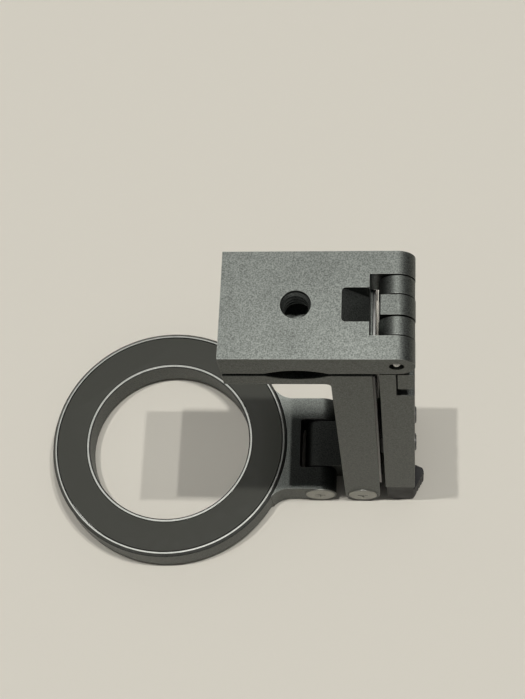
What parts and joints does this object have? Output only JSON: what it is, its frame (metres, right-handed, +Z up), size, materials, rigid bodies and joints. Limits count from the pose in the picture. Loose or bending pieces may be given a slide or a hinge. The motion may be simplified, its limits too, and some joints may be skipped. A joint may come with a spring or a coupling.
{
  "type": "car phone mount",
  "caption": "Folding phone mount: magnetic ring on a double friction hinge, sprung clamping jaw and a fold-out block with a tripod thread.",
  "frame": {"origin": "bottom centre of the mount as it stands: Z = 0 is the surface under the ring, Y = 0 the plane of symmetry, X = 0 halfway between the ring's far side and the thumb tab's tip", "axes": "+Z up through the leg, out of the tripod thread; +X from the ring towards the leg and slide plate; Y along every hinge pin"},
  "size_m": [0.0974, 0.062, 0.0931],
  "materials": {
    "anodised_aluminium": "bead-blasted, grey anodised",
    "polished_steel": "polished",
    "pivot_steel": "turned, satin",
    "fastener_steel": "black oxide",
    "spring_steel": "drawn wire",
    "washer_plastic": "matte",
    "liner_plastic": "matte",
    "follower_plastic": "matte",
    "black_plastic": "satin moulded",
    "pad_silicone": "matte, soft touch",
    "magnet_nickel": "nickel plated",
    "shunt_steel": "plain sheet"
  },
  "bodies": {
    "leg": {"leg_bracket": "anodised_aluminium", "guide_strip": "polished_steel", "strip_screws": "fastener_steel", "leg_pivot_pin": "pivot_steel", "leg_pivot_caps": "pivot_steel", "leg_friction_washers": "washer_plastic", "clamp_springs": "spring_steel"},
    "link": {"pivot_link": "anodised_aluminium"},
    "head": {"ring_housing": "anodised_aluminium", "magnet_shunt": "shunt_steel", "magnet_segments": "magnet_nickel", "ring_pad": "pad_silicone", "ring_pivot_pin": "pivot_steel", "ring_pivot_caps": "pivot_steel", "ring_friction_washers": "washer_plastic"},
    "slider": {"slide_plate": "anodised_aluminium", "hinge_insert": "anodised_aluminium", "plate_liner": "liner_plastic", "slide_follower": "follower_plastic", "follower_screws": "fastener_steel", "end_cap": "black_plastic", "cap_screws": "fastener_steel", "latch_spring": "spring_steel"},
    "block": {"mount_block": "anodised_aluminium", "hinge_pin": "polished_steel", "hinge_spacers": "washer_plastic"},
    "latch": {"release_latch": "anodised_aluminium"}
  },
  "joints": [
    {"name": "link_tilt", "type": "hinge", "parent": "leg", "child": "link", "pos_m": [0.03302, 0, 0.0045], "axis": [0, 1, 0], "range_deg": [-90, 0]},
    {"name": "ring_tilt", "type": "hinge", "parent": "link", "child": "head", "pos_m": [0.02202, 0, 0.0045], "axis": [0, 1, 0], "range_deg": [-90, 90]},
    {"name": "jaw_slide", "type": "slide", "parent": "leg", "child": "slider", "axis": [0, 0, 1], "range_m": [0, 0.02], "stiffness_N_per_m": 500, "springref_m": -0.012, "deforming": ["clamp_springs"]},
    {"name": "block_fold", "type": "hinge", "parent": "slider", "child": "block", "pos_m": [0.04267, 0, 0.0892], "axis": [0, 1, 0], "range_deg": [0, 180]},
    {"name": "latch_slide", "type": "slide", "parent": "slider", "child": "latch", "axis": [0, 0, -1], "range_m": [0, 0.0028], "stiffness_N_per_m": 300, "springref_m": -0.001, "deforming": ["latch_spring"]}
  ]
}
